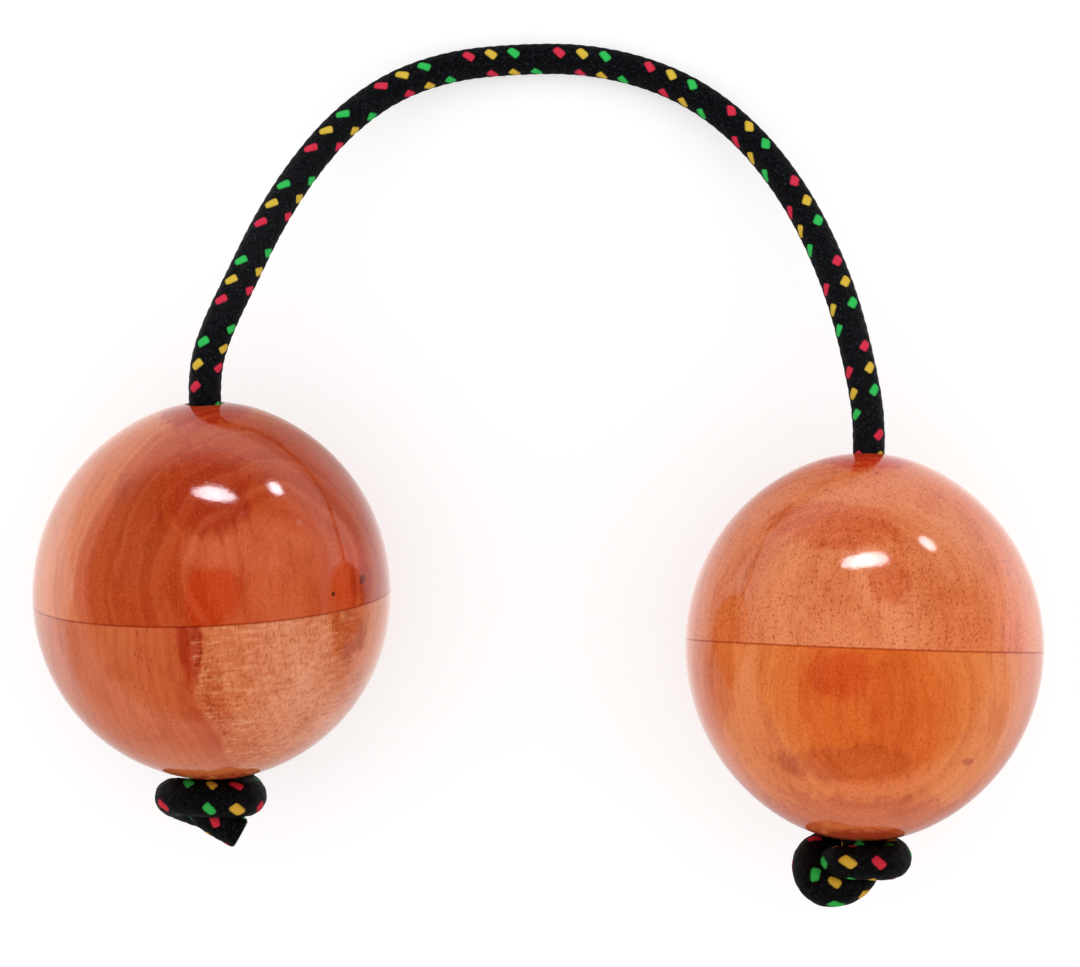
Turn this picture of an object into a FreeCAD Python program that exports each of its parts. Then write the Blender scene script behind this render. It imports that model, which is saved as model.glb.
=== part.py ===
# A pair of hand shakers: two turned hollow wooden balls with loose seeds inside, strung on one
# braided cord that is knotted under each ball. The pair lies at rest on a flat surface.
# Frame: millimetres, +Z up, +X from the first ball to the second, +Y towards the crown of the cord.
# Origin: on the surface, under the middle of the two balls. In every ball's own frame +Z runs along
# the bore towards the crown of the cord, +X stays level and -Y faces up from the surface.
import FreeCAD, Part
import math
import os

import Sketcher

V = FreeCAD.Vector

# Driving dimensions in millimetres and degrees: name, value, what it is
SIZES = [
    ("ball_radius", 27.5, "half the width across a ball's seam"),
    ("upper_height", 29.8, "seam to pole, on the cord's side of a ball"),
    ("left_lower_height", 28.7, "seam to pole, on the knot's side of the left ball"),
    ("right_lower_height", 30.1, "seam to pole, on the knot's side of the right ball"),
    ("upper_meet", 63.36, "degrees up from the seam where the shoulder's arc meets the pole's arc"),
    ("left_lower_meet", 70.0, "the same on the left lower shell, in degrees"),
    ("right_lower_meet", 60.88, "the same on the right lower shell, in degrees"),
    ("wall", 4.5, "least thickness of the turned wood round the hollow"),
    ("spigot_wall", 2.2, "thickness of the spigot turned on the upper shell"),
    ("lap_depth", 2.5, "how far the spigot enters the lower shell"),
    ("lap_gap", 0.1, "glue room round the spigot and under its end"),
    ("seam_bevel", 0.2, "edge broken on both sides of the glued seam"),
    ("bore_gap", 0.2, "room between the cord and its bore"),
    ("bore_round", 0.7, "rounding of the bore's mouth"),
    ("seed_diameter", 4.0, "one dried seed"),
    ("seed_gap", 0.15, "room between seeds lying side by side"),
    ("seed_seat_gap", 0.1, "room between a seed and the wall that it lies on"),
    ("cord_diameter", 5.0, "round braided cord"),
    ("knot_strand", 3.7, "the same cord pulled tight in a knot"),
    ("knot_entry", 3.0, "how far a knot's strand reaches up its bore"),
    ("ball_spacing", 100.5, "level distance between the two ball centres"),
    ("ball_stagger", 7.95, "how far the left ball lies nearer to the crown of the cord"),
    ("left_lean", 1.5, "left ball's bore turned from +Y towards -X, in degrees"),
    ("left_rise", 7.5, "left ball's bore raised from level, in degrees"),
    ("right_lean", -2.0, "right ball's bore turned from +Y towards -X, in degrees"),
    ("right_rise", -2.4, "right ball's bore raised from level, in degrees"),
]

# Seeds in the centre and in each ring round it
RINGS = (1, 6, 5)

# Each arc of a strand starts this share of the shorter run before its corner
ARC_SHARE = 0.45

# Corners of the cord's route from the left ball's exit to the right ball's exit
CORD_ROUTE = [
    (-49.4, 45.1, 31.9), (-46.1, 52.6, 29.6), (-42.2, 62.2, 24.2), (-37.4, 71.6, 17.8),
    (-31.5, 79.8, 11.2), (-23.5, 86.4, 5.9), (-14.0, 90.2, 3.1), (-3.7, 91.3, 2.5),
    (6.9, 91.2, 2.5), (17.1, 89.1, 2.5), (26.2, 84.9, 3.3), (34.1, 78.0, 6.5),
    (40.2, 69.5, 11.2), (44.7, 60.0, 16.6), (48.1, 49.4, 22.0), (50.3, 38.4, 25.3),
]
EXIT_RUN = 4.8

# Corners of each overhand knot in cord diameters, from the strand in the bore to the cut end:
# to the right, along the bore towards the ball, and up from the surface
LEFT_KNOT = [
    (0, -0.12, 0), (0.10, -0.55, 0), (0.10, -1.05, -0.30), (-0.10, -1.46, -0.76),
    (-0.62, -1.44, -1.02), (-1.20, -1.16, -0.90), (-1.56, -0.78, -0.28), (-1.46, -0.50, 0.50),
    (-0.84, -0.46, 0.92), (-0.10, -0.52, 1.00), (0.50, -0.58, 0.88), (0.90, -0.66, 0.44),
    (0.90, -0.74, -0.26), (0.62, -0.58, -0.94), (0.10, -0.40, -1.14), (-0.42, -0.40, -1.04),
    (-0.76, -0.54, -0.50), (-0.74, -0.82, 0.04), (-0.42, -1.18, 0.38), (0.10, -1.48, 0.48),
    (0.60, -1.78, 0.48),
]
RIGHT_KNOT = [
    (0, -0.12, 0), (0.16, -0.50, 0), (0.18, -0.94, 0.06), (-0.12, -1.28, 0.24),
    (-0.62, -1.54, 0.36), (-1.14, -1.56, 0.26), (-1.50, -1.18, 0.02), (-1.46, -0.66, -0.54),
    (-0.92, -0.38, -1.10), (-0.20, -0.40, -1.20), (0.56, -0.40, -1.04), (1.10, -0.40, -0.50),
    (1.16, -0.50, 0.24), (0.78, -0.58, 0.86), (0.10, -0.56, 1.04), (-0.42, -0.58, 0.90),
    (-0.70, -0.66, 0.40), (-0.70, -0.76, -0.22), (-0.62, -1.06, -0.66), (-0.34, -1.24, -0.98),
]

doc = FreeCAD.newDocument("HandShakers")
sheet = doc.addObject("Spreadsheet::Sheet", "Sizes")
for row, (alias, value, meaning) in enumerate(SIZES, start=1):
    sheet.set("A%d" % row, str(value))
    sheet.setAlias("A%d" % row, alias)
    sheet.set("B%d" % row, meaning)
doc.recompute()


def size(alias):
    return float(sheet.get(alias))


def turned_arcs(half):
    """Radii of the shoulder's arc, square at the seam, and of the pole's arc that it runs into."""
    wide, height, meet = size("ball_radius"), size(half + "_height"), math.radians(size(half + "_meet"))
    beyond_axis = (height - wide) / (1 + math.tan(meet) - 1 / math.cos(meet))
    return wide + beyond_axis, height - beyond_axis * math.tan(meet)


class Ball:
    """Where one ball lies, and the expression that puts each of its pieces there."""

    def __init__(self, side, toward_crown):
        self.side = side
        self.lean = "Sizes.%s_lean" % side
        self.rise = "Sizes.%s_rise" % side
        self.upper, self.lower = "upper", "%s_lower" % side
        # The hollow is round and leaves at least the wall's thickness on every side
        self.hollow = ("min(Sizes.ball_radius; Sizes.upper_height; Sizes.%s_lower_height) - Sizes.wall"
                       % side)
        self.hollow_radius = min(size(n) for n in ("ball_radius", self.upper + "_height",
                                                   self.lower + "_height")) - size("wall")
        rise = math.radians(size("%s_rise" % side))
        shoulder, _ = turned_arcs(self.lower if rise > 0 else self.upper)
        height = shoulder + (size("ball_radius") - shoulder) * math.cos(rise)
        self.turn = (FreeCAD.Rotation(V(0, 0, 1), size("%s_lean" % side))
                     * FreeCAD.Rotation(V(1, 0, 0), size("%s_rise" % side) - 90))
        across = size("ball_spacing") / 2 * (1 if side == "right" else -1)
        self.centre = V(across, toward_crown, height)

    def place(self, thing, flipped=False):
        spin = "180" if flipped else "0"
        thing.setExpression(
            "Placement",
            "placement(vector(%.9g; %.9g; %.9g); rotationz(%s) * rotationx(%s - 90) * rotationx(%s))"
            % (self.centre.x, self.centre.y, self.centre.z, self.lean, self.rise, spin))

    def point(self, right, along, up):
        return self.centre + self.turn.multVec(V(right, -up, along))


def pole_reach(half, side):
    """How far a ball reaches along Y from its centre, past the pole of this half."""
    lean, rise = math.radians(size(side + "_lean")), math.radians(size(side + "_rise"))
    _, pole = turned_arcs(half)
    return (size(half + "_height") - pole) * math.cos(lean) * math.cos(rise) + pole


def place_balls():
    """Both balls, with the pair centred on the origin along Y."""
    up = pole_reach("upper", "left")
    down = pole_reach("right_lower", "right")
    middle = (down - up) / 2
    half = size("ball_stagger") / 2
    return Ball("left", middle + half), Ball("right", middle - half)


def plane(body, role):
    return next(f for f in body.Origin.OriginFeatures if f.Role == role)


def arc_between(centre, radius, start, end):
    circle = Part.Circle(centre, V(0, 0, 1), radius)
    a = math.atan2(start.y - centre.y, start.x - centre.x)
    b = math.atan2(end.y - centre.y, end.x - centre.x)
    return Part.ArcOfCircle(circle, a, b)


def bind(sketch, kind, *terms, expression=None):
    index = sketch.addConstraint(Sketcher.Constraint(kind, *terms))
    if expression:
        sketch.setExpression("Constraints[%d]" % index, expression)


def shell_profile(sketch, ball, half, has_spigot):
    """Half section of a shell: turned outside, bore, hollow, and its half of the lapped seam."""
    wide, height, meet_angle = size("ball_radius"), size(half + "_height"), size(half + "_meet")
    hollow, lap, room = ball.hollow_radius, size("lap_depth"), size("lap_gap")
    spigot = hollow + size("spigot_wall")
    bore = size("cord_diameter") / 2 + size("bore_gap")
    shoulder, pole = turned_arcs(half)
    shoulder_centre, pole_centre, top = V(wide - shoulder, 0, 0), V(0, height - pole, 0), V(0, height, 0)
    turn = math.radians(meet_angle)
    meet = shoulder_centre + V(math.cos(turn), math.sin(turn), 0) * shoulder
    mouth = V(bore, pole_centre.y + math.sqrt(pole ** 2 - bore ** 2), 0)
    inner = V(bore, math.sqrt(hollow ** 2 - bore ** 2), 0)
    seam = V(wide, 0, 0)
    if has_spigot:
        foot = V(hollow, 0, 0)
        steps = [foot, V(hollow, -lap, 0), V(spigot, -lap, 0), V(spigot, 0, 0), seam]
    else:
        floor = lap + room
        foot = V(math.sqrt(hollow ** 2 - floor ** 2), floor, 0)
        steps = [foot, V(spigot + room, floor, 0), V(spigot + room, 0, 0), seam]

    sketch.addGeometry(arc_between(shoulder_centre, shoulder, seam, meet))
    sketch.addGeometry(arc_between(pole_centre, pole, meet, mouth))
    sketch.addGeometry(Part.LineSegment(mouth, inner))
    sketch.addGeometry(arc_between(V(0, 0, 0), hollow, foot, inner))
    for start, end in zip(steps, steps[1:]):
        sketch.addGeometry(Part.LineSegment(start, end))
    last = sketch.GeometryCount - 1
    meet_line = sketch.addGeometry(Part.LineSegment(shoulder_centre, meet), True)
    pole_mark = sketch.addGeometry(Part.Point(top), True)

    bind(sketch, "Tangent", 0, 2, 1, 1)
    bind(sketch, "Coincident", 1, 2, 2, 1)
    bind(sketch, "Coincident", 2, 2, 3, 2)
    bind(sketch, "Coincident", 3, 1, 4, 1)
    for line in range(4, last):
        bind(sketch, "Coincident", line, 2, line + 1, 1)
    bind(sketch, "Coincident", last, 2, 0, 1)
    bind(sketch, "PointOnObject", 0, 3, -1)
    bind(sketch, "PointOnObject", 0, 1, -1)
    bind(sketch, "PointOnObject", 1, 3, -2)
    bind(sketch, "Coincident", 3, 3, -1, 1)
    bind(sketch, "Vertical", 2)
    bind(sketch, "DistanceX", -1, 1, 0, 1, wide, expression="Sizes.ball_radius")
    bind(sketch, "Coincident", meet_line, 1, 0, 3)
    bind(sketch, "Coincident", meet_line, 2, 0, 2)
    bind(sketch, "Angle", -1, 1, meet_line, 1, turn, expression="Sizes.%s_meet" % half)
    bind(sketch, "PointOnObject", pole_mark, 1, -2)
    bind(sketch, "PointOnObject", pole_mark, 1, 1)
    bind(sketch, "DistanceY", -1, 1, pole_mark, 1, height, expression="Sizes.%s_height" % half)
    bind(sketch, "DistanceX", -1, 1, 2, 1, bore,
         expression="Sizes.cord_diameter / 2 + Sizes.bore_gap")
    bind(sketch, "Radius", 3, hollow, expression=ball.hollow)
    if has_spigot:
        bind(sketch, "PointOnObject", 3, 1, -1)
        bind(sketch, "Vertical", 4)
        bind(sketch, "Horizontal", 5)
        bind(sketch, "Vertical", 6)
        bind(sketch, "Horizontal", 7)
        bind(sketch, "DistanceY", 4, 2, -1, 1, lap, expression="Sizes.lap_depth")
        bind(sketch, "DistanceX", -1, 1, 5, 2, spigot,
             expression=ball.hollow + " + Sizes.spigot_wall")
    else:
        bind(sketch, "Horizontal", 4)
        bind(sketch, "Vertical", 5)
        bind(sketch, "Horizontal", 6)
        bind(sketch, "DistanceY", -1, 1, 4, 1, floor,
             expression="Sizes.lap_depth + Sizes.lap_gap")
        bind(sketch, "DistanceX", -1, 1, 5, 1, spigot + room,
             expression=ball.hollow + " + Sizes.spigot_wall + Sizes.lap_gap")


def ring_edge(shape, radius, height):
    """Name of the circular edge of this radius that lies nearest this height."""
    rings = []
    for number, edge in enumerate(shape.Edges, start=1):
        if isinstance(edge.Curve, Part.Circle) and abs(edge.Curve.Radius - radius) < 0.01:
            rings.append((abs(edge.Curve.Center.z - height), "Edge%d" % number))
    return min(rings)[1]


def half_shell(label, ball, half, has_spigot):
    """One turned half of a ball. The lower halves are turned pole up, then laid pole down."""
    body = doc.addObject("PartDesign::Body", label)
    body.Label = label
    sketch = body.newObject("Sketcher::SketchObject", label + "_profile")
    sketch.AttachmentSupport = [(plane(body, "XZ_Plane"), "")]
    sketch.MapMode = "FlatFace"
    shell_profile(sketch, ball, half, has_spigot)
    turned = body.newObject("PartDesign::Revolution", label + "_turned")
    turned.Profile = sketch
    turned.ReferenceAxis = (sketch, ["V_Axis"])
    turned.Angle = 360
    doc.recompute()

    mouth = body.newObject("PartDesign::Fillet", label + "_mouth")
    bore = size("cord_diameter") / 2 + size("bore_gap")
    mouth.Base = (turned, [ring_edge(turned.Shape, bore, size(half + "_height"))])
    mouth.setExpression("Radius", "Sizes.bore_round")
    doc.recompute()

    seam = body.newObject("PartDesign::Chamfer", label + "_seam")
    seam.Base = (mouth, [ring_edge(mouth.Shape, size("ball_radius"), 0)])
    seam.setExpression("Size", "Sizes.seam_bevel")
    ball.place(body, flipped=not has_spigot)
    return body


def seed_layer(ball):
    """Seeds lying close together in one layer where the hollow is lowest."""
    out = ball.hollow_radius - size("seed_diameter") / 2 - size("seed_seat_gap")
    pitch = 2 * math.asin((size("seed_diameter") + size("seed_gap")) / 2 / out)
    seeds = []
    for ring, count in enumerate(RINGS):
        for step in range(count):
            tilt, round_angle = ring * pitch, 2 * math.pi * step / count
            away = V(math.sin(tilt) * math.cos(round_angle),
                     math.sin(tilt) * math.sin(round_angle), -math.cos(tilt))
            label = "%s_seed_%02d" % (ball.side, len(seeds) + 1)
            seed = doc.addObject("Part::Sphere", label)
            seed.Label = label
            seed.setExpression("Radius", "Sizes.seed_diameter / 2")
            seed.Placement = FreeCAD.Placement(ball.centre + away * out, FreeCAD.Rotation())
            seeds.append(seed)
    return seeds


def strand_path(corners, name):
    """Straight runs joined by tangent arcs, each as large as its two runs allow."""
    edges, radii, here = [], [], corners[0]
    for before, corner, after in zip(corners, corners[1:], corners[2:]):
        run_in, run_out = corner - before, after - corner
        reach = ARC_SHARE * min(run_in.Length, run_out.Length)
        half_turn = run_in.getAngle(run_out) / 2
        run_in.normalize()
        run_out.normalize()
        start, end = corner - run_in * reach, corner + run_out * reach
        radius = reach / math.tan(half_turn)
        inward = (run_out - run_in).normalize()
        middle = corner + inward * (radius / math.cos(half_turn) - radius)
        edges.append(Part.LineSegment(here, start).toShape())
        edges.append(Part.Arc(start, middle, end).toShape())
        radii.append(radius)
        here = end
    edges.append(Part.LineSegment(here, corners[-1]).toShape())
    print(name, "arc radii", [round(r, 1) for r in radii])
    return Part.Wire(edges)


def strand(label, corners, diameter):
    """A round strand of cord swept along its path."""
    path = strand_path(corners, label)
    start = (corners[1] - corners[0]).normalize()
    section = Part.Wire([Part.Circle(corners[0], start, diameter / 2).toShape()])
    thing = doc.addObject("Part::Feature", label)
    thing.Label = label
    thing.Shape = path.makePipeShell([section], True, True)
    expected = math.pi * diameter ** 2 / 4 * path.Length
    print(label, "length", round(path.Length, 1), "volume share",
          round(thing.Shape.Volume / expected, 4))
    if abs(thing.Shape.Volume / expected - 1) > 0.01:
        raise ValueError(label + " has lost its round section")
    return thing


def knot(ball, corners):
    """An overhand knot drawn tight under its ball, from inside the bore to the cut end."""
    unit = size("cord_diameter")
    pole = -size(ball.lower + "_height")
    path = [ball.point(0, pole + size("knot_entry"), 0)]
    path += [ball.point(x * unit, pole + y * unit, z * unit) for x, y, z in corners]
    return strand(ball.side + "_knot", path, size("knot_strand"))


def cord(left, right):
    """The cord from the left knot, through both balls and over the crown, to the right knot."""
    way = []
    for ball in (left, right):
        way.append([ball.point(0, size("knot_entry") - size(ball.lower + "_height"), 0),
                    ball.point(0, size("upper_height") + EXIT_RUN, 0)])
    corners = way[0] + [V(*corner) for corner in CORD_ROUTE] + way[1][::-1]
    return strand("cord", corners, size("cord_diameter"))


def build():
    left, right = place_balls()
    pieces = []
    for ball in (left, right):
        pieces.append(half_shell(ball.side + "_upper_shell", ball, ball.upper, True))
        pieces.append(half_shell(ball.side + "_lower_shell", ball, ball.lower, False))
        pieces += seed_layer(ball)
    pieces.append(cord(left, right))
    pieces.append(knot(left, LEFT_KNOT))
    pieces.append(knot(right, RIGHT_KNOT))
    return pieces


def export(pieces):
    doc.recompute()
    for thing in doc.Objects:
        if "Invalid" in thing.State or "Error" in thing.State:
            raise ValueError(thing.Label + " failed to build")
    for piece in pieces:
        if piece.Shape.isNull() or not piece.Shape.isValid():
            raise ValueError(piece.Label + " has no valid solid")
    os.makedirs("parts", exist_ok=True)
    for piece in pieces:
        piece.Shape.exportStep("parts/%s.step" % piece.Label)


export(build())
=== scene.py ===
import math
import random

import bmesh
import bpy
from bpy.props import FloatProperty, FloatVectorProperty, IntProperty, PointerProperty
from mathutils import Matrix, Vector, noise


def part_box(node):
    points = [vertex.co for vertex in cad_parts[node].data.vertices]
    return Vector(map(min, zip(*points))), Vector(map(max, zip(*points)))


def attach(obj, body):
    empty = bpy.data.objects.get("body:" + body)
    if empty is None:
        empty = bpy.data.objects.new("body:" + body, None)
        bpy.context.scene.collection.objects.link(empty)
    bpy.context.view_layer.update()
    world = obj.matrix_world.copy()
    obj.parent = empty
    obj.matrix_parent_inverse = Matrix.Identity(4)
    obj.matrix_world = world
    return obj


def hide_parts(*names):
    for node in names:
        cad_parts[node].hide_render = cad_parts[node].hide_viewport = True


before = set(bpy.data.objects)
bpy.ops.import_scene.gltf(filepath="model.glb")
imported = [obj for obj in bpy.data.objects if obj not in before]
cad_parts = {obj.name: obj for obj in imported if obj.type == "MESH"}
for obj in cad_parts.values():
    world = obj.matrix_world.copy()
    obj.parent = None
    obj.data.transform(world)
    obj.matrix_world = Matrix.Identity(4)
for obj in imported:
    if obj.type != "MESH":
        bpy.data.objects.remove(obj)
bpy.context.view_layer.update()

bl_info = {
    "name": "Hand Shaker Pair",
    "version": (1, 0, 0),
    "blender": (4, 5, 0),
    "location": "3D View > Sidebar > Shakers",
    "description": "Models and finishes two turned wooden shaker balls on a knotted, braided cord",
    "category": "Object",
}

# All lengths are metres, and one millimetre is this long
MM = 0.001

# Vertices closer than this are merged
SAME_PLACE = 0.0005 * MM

# The cord's corners between the two balls' exits, the point of the crown from which the braid is
# counted, its turns there, and the straight run before the first corner and after the last
CORD_ROUTE = [
    (-0.0491, 0.0450, 0.0319), (-0.0458, 0.0525, 0.0296), (-0.0420, 0.0621, 0.0242),
    (-0.0371, 0.0714, 0.0178), (-0.0313, 0.0796, 0.0112), (-0.0235, 0.0862, 0.0059),
    (-0.0140, 0.0899, 0.0031), (-0.0037, 0.0910, 0.0025), (0.0069, 0.0911, 0.0025),
    (0.0171, 0.0891, 0.0025), (0.0262, 0.0850, 0.0033), (0.0341, 0.0781, 0.0065),
    (0.0402, 0.0695, 0.0112), (0.0447, 0.0600, 0.0166), (0.0481, 0.0494, 0.0220),
    (0.0503, 0.0384, 0.0253),
]
CROWN = (0.0034, 0.0913, 0.0025)
CROWN_TURNS = 0.03
STRAIGHT_RUN = 10 * MM

# Corners of each knot in cord diameters: right, along the bore towards the ball, and up
LEFT_KNOT = [
    (0, -0.12, 0), (0.10, -0.55, 0), (0.10, -1.05, -0.30), (-0.10, -1.46, -0.76),
    (-0.62, -1.44, -1.02), (-1.20, -1.16, -0.90), (-1.56, -0.78, -0.28), (-1.46, -0.50, 0.50),
    (-0.84, -0.46, 0.92), (-0.10, -0.52, 1.00), (0.48, -0.58, 0.88), (0.84, -0.66, 0.44),
    (0.84, -0.74, -0.26), (0.54, -0.62, -0.92), (0.08, -0.46, -1.10), (-0.42, -0.42, -1.02),
    (-0.76, -0.54, -0.50), (-0.74, -0.82, 0.04), (-0.42, -1.18, 0.38), (0.10, -1.48, 0.48),
    (0.60, -1.78, 0.48),
]
RIGHT_KNOT = [
    (0, -0.12, 0), (0.16, -0.50, 0), (0.18, -0.94, 0.06), (-0.12, -1.28, 0.24),
    (-0.60, -1.47, 0.36), (-1.06, -1.48, 0.26), (-1.40, -1.14, 0.02), (-1.38, -0.66, -0.54),
    (-0.92, -0.38, -1.10), (-0.20, -0.40, -1.20), (0.56, -0.40, -1.04), (1.10, -0.40, -0.50),
    (1.16, -0.50, 0.24), (0.78, -0.58, 0.86), (0.10, -0.56, 1.04), (-0.42, -0.58, 0.90),
    (-0.70, -0.66, 0.40), (-0.70, -0.76, -0.22), (-0.62, -1.06, -0.66), (-0.34, -1.24, -0.98),
]

# Each knot's corners, whether its braid runs backwards, and the braid's turns and roll in its middle
KNOTS = {"left": (LEFT_KNOT, True, 0.5, 0.11), "right": (RIGHT_KNOT, False, -0.415, 0.244)}

# Lamps: the ball that each lights, its direction from there, width and height of its face, and its
# share of the full brightness
LAMP_DISTANCE = 0.16
LAMPS = {
    "left_main": ("left", (0.087, 0.823, 0.561), 0.066, 0.022, 1.0),
    "left_small": ("left", (0.563, 0.793, 0.228), 0.020, 0.020, 1.0),
    "right_main": ("right", (-0.063, 0.757, 0.650), 0.074, 0.022, 1.0),
    "right_small": ("right", (0.496, 0.790, 0.360), 0.026, 0.018, 0.7),
}
LAMP_HALF_SPREAD = math.radians(26)
LAMP_TINT = (0.94, 0.92, 1.0)

# The dark round in the floor's glow that gloss mirrors inside the cord's loop, a painted reflection; the
# floor seen straight on stays white
LOOP_PLACE = 0.085
LOOP_RADIUS = 0.060

CAMERA_PLACE = (0.00028, 0.0212, 0.4215)
CAMERA_LENS = 84.9


def length(name, description, millimetres):
    return FloatProperty(name=name, description=description, default=millimetres * MM,
                         unit="LENGTH", precision=5)


def angle(name, description, degrees):
    return FloatProperty(name=name, description=description, default=math.radians(degrees),
                         subtype="ANGLE")


def number(name, description, value):
    return FloatProperty(name=name, description=description, default=value)


def screen_colour(red, green, blue):
    """A colour as a screen shows it, 0 to 255, as the linear colour that a material holds."""
    return tuple((c / 255 / 12.92) if c <= 10 else ((c / 255 + 0.055) / 1.055) ** 2.4
                 for c in (red, green, blue))


def colour(name, description, red, green, blue):
    return FloatVectorProperty(name=name, description=description, subtype="COLOR", size=3,
                               min=0, max=1, default=screen_colour(red, green, blue))


class BallSizes(bpy.types.PropertyGroup):
    """Sizes of the two turned balls, and how they lie"""
    radius: length("Radius", "Half the width across the seam", 27.5)
    upper_height: length("Upper height", "Seam to pole on the cord's side", 29.8)
    left_lower_height: length("Left lower height", "Seam to pole on the left knot's side", 28.7)
    right_lower_height: length("Right lower height", "Seam to pole on the right knot's side", 30.1)
    upper_meet: angle("Upper meet", "Where the shoulder's arc meets the pole's arc", 63.36)
    left_lower_meet: angle("Left lower meet", "The same on the left lower shell", 70.0)
    right_lower_meet: angle("Right lower meet", "The same on the right lower shell", 60.88)
    wall: length("Wall", "Least thickness of the wood", 4.5)
    spigot_wall: length("Spigot wall", "Thickness of the spigot at the seam", 2.2)
    lap_depth: length("Lap depth", "How far the spigot enters the lower shell", 2.5)
    lap_gap: length("Lap gap", "Glue room round the spigot", 0.1)
    seam_bevel: length("Seam bevel", "Edge broken on both sides of the seam", 0.06)
    bore_radius: length("Bore radius", "Radius of the hole for the cord", 2.7)
    bore_round: length("Bore rounding", "Rounding of the hole's mouth", 0.7)
    left_lean: angle("Left lean", "Left bore turned from +Y towards -X", 1.5)
    left_rise: angle("Left rise", "Left bore raised from level", 7.5)
    right_lean: angle("Right lean", "Right bore turned from +Y towards -X", -2.0)
    right_rise: angle("Right rise", "Right bore raised from level", -2.4)
    steps_round: IntProperty(name="Steps round", description="Faces round a ball", default=192)
    roughness: number("Roughness", "How dull the varnish is", 0.09)


class CordSizes(bpy.types.PropertyGroup):
    """Sizes and colours of the braided cord"""
    diameter: length("Diameter", "Round braided cord", 5.0)
    knot_strand: length("Knot strand", "The cord in a knot, pressed together", 5.0)
    knot_lead: length("Knot lead", "The lead where the braid is pressed together in a knot", 12.7)
    knot_swell: number("Knot swell", "How much fuller the cord lies in the middle of a knot", 0.16)
    knot_entry: length("Knot entry", "How far a knot's strand reaches up its bore", 3.0)
    exit_run: length("Exit run", "From a ball's pole to the route's first corner", 4.8)
    relief: length("Relief", "Height of the braid's strands", 0.14)
    lead: length("Lead", "Length of one turn of a braided strand over the crown", 14.9)
    left_stretch: length("Left stretch", "How far the bend draws the braid out towards the left ball", 6.1)
    right_stretch: length("Right stretch", "The same towards the right ball", 4.2)
    twist: angle("Twist", "How far the braid is turned outwards at the ends", 40)
    roll: number("Roll", "Turns by which the braid is rolled about the cord", 0.08125)
    black: colour("Black yarn", "Ground of the braid", 14, 15, 19)
    red: colour("Red yarn", "First tracer", 226, 50, 78)
    yellow: colour("Yellow yarn", "Second tracer", 230, 194, 66)
    green: colour("Green yarn", "Third tracer", 52, 202, 92)


class SeedSizes(bpy.types.PropertyGroup):
    """Size and colours of the loose seeds"""
    diameter: length("Diameter", "One dried seed", 4.0)
    seat_gap: length("Seat gap", "Room between a seed and the wall under it", 0.1)
    dark: colour("Dark", "Seed in its furrows", 82, 47, 26)
    pale: colour("Pale", "Seed on its crests", 164, 112, 66)


class StageLooks(bpy.types.PropertyGroup):
    """Floor, world and lamps"""
    floor_white: number("Floor white", "How white the floor shows without the light on it", 0.52)
    floor_mirrored: number("Floor mirrored", "The same as gloss mirrors it on the cord's side", 0.85)
    floor_shade: number("Floor shade", "Paint of the floor, which carries the shadow", 0.58)
    ambient: number("Ambient", "Even light from all round", 1.25)
    horizon: number("Horizon", "Brightness that gloss mirrors from the level", 1.1)
    zenith: number("Zenith", "Brightness that gloss mirrors from straight above", 0.02)
    lamp_radiance: number("Lamp", "Brightness of the lamps' faces", 42)


def sizes():
    return bpy.context.scene.shaker_sizes


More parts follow.
